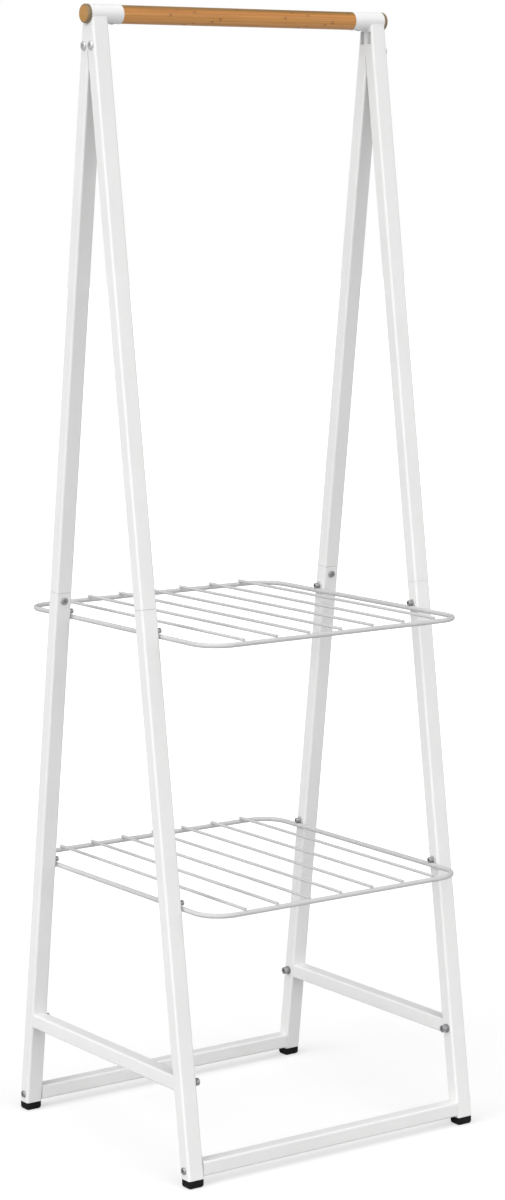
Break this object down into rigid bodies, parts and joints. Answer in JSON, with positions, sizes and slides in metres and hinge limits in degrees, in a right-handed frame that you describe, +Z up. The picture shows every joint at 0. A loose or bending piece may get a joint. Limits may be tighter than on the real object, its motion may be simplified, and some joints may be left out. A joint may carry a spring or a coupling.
{
  "type": "free-standing clothes rack",
  "caption": "A-frame garment rail: leaning square-tube legs in pairs, a bamboo hanging rod across the top, wire shelves between the legs, braces, bottom bars and rubber feet.",
  "frame": {"origin": "on the floor under the middle of the rack", "axes": "X runs along the hanging rod from left to right, Y runs from front to rear, Z is up"},
  "size_m": [0.604, 0.572, 1.9],
  "materials": {
    "white_coat": "satin white powder coat",
    "shelf_coat": "satin white powder coat, greyer than the tubes",
    "bright_screw": "bright plated",
    "bamboo": "laminated bamboo, satin clear coat",
    "black_rubber": "matt",
    "grey_plastic": "moulded",
    "zinc_screw": "zinc plated",
    "insert_plastic": "moulded, mostly hidden inside the tubes",
    "bamboo_plug": "bamboo end grain with a dark rim"
  },
  "bodies": {
    "root": {"bar_end_plugs": "insert_plastic", "bar_screws": "zinc_screw", "brace_bolts": "zinc_screw", "brace_collars": "grey_plastic", "brace_tongues": "insert_plastic", "front_bottom_bar": "white_coat", "front_left_foot": "black_rubber", "front_left_joint_coupler": "insert_plastic", "front_left_lower_leg": "white_coat", "front_left_top_insert": "insert_plastic", "front_left_upper_leg": "white_coat", "front_right_foot": "black_rubber", "front_right_joint_coupler": "insert_plastic", "front_right_lower_leg": "white_coat", "front_right_top_insert": "insert_plastic", "front_right_upper_leg": "white_coat", "hanging_rod": "bamboo", "head_screws": "bright_screw", "joint_screws": "zinc_screw", "left_end_plug": "bamboo_plug", "left_head": "white_coat", "left_side_brace": "white_coat", "lower_shelf_frame": "shelf_coat", "lower_shelf_tabs": "shelf_coat", "lower_shelf_wires": "shelf_coat", "rear_bottom_bar": "white_coat", "rear_left_foot": "black_rubber", "rear_left_joint_coupler": "insert_plastic", "rear_left_lower_leg": "white_coat", "rear_left_top_insert": "insert_plastic", "rear_left_upper_leg": "white_coat", "rear_right_foot": "black_rubber", "rear_right_joint_coupler": "insert_plastic", "rear_right_lower_leg": "white_coat", "rear_right_top_insert": "insert_plastic", "rear_right_upper_leg": "white_coat", "right_end_plug": "bamboo_plug", "right_head": "white_coat", "right_side_brace": "white_coat", "rivet_nuts": "zinc_screw", "rod_lock_screws": "zinc_screw", "shelf_screws": "zinc_screw", "upper_shelf_frame": "shelf_coat", "upper_shelf_tabs": "shelf_coat", "upper_shelf_wires": "shelf_coat"}
  },
  "joints": []
}
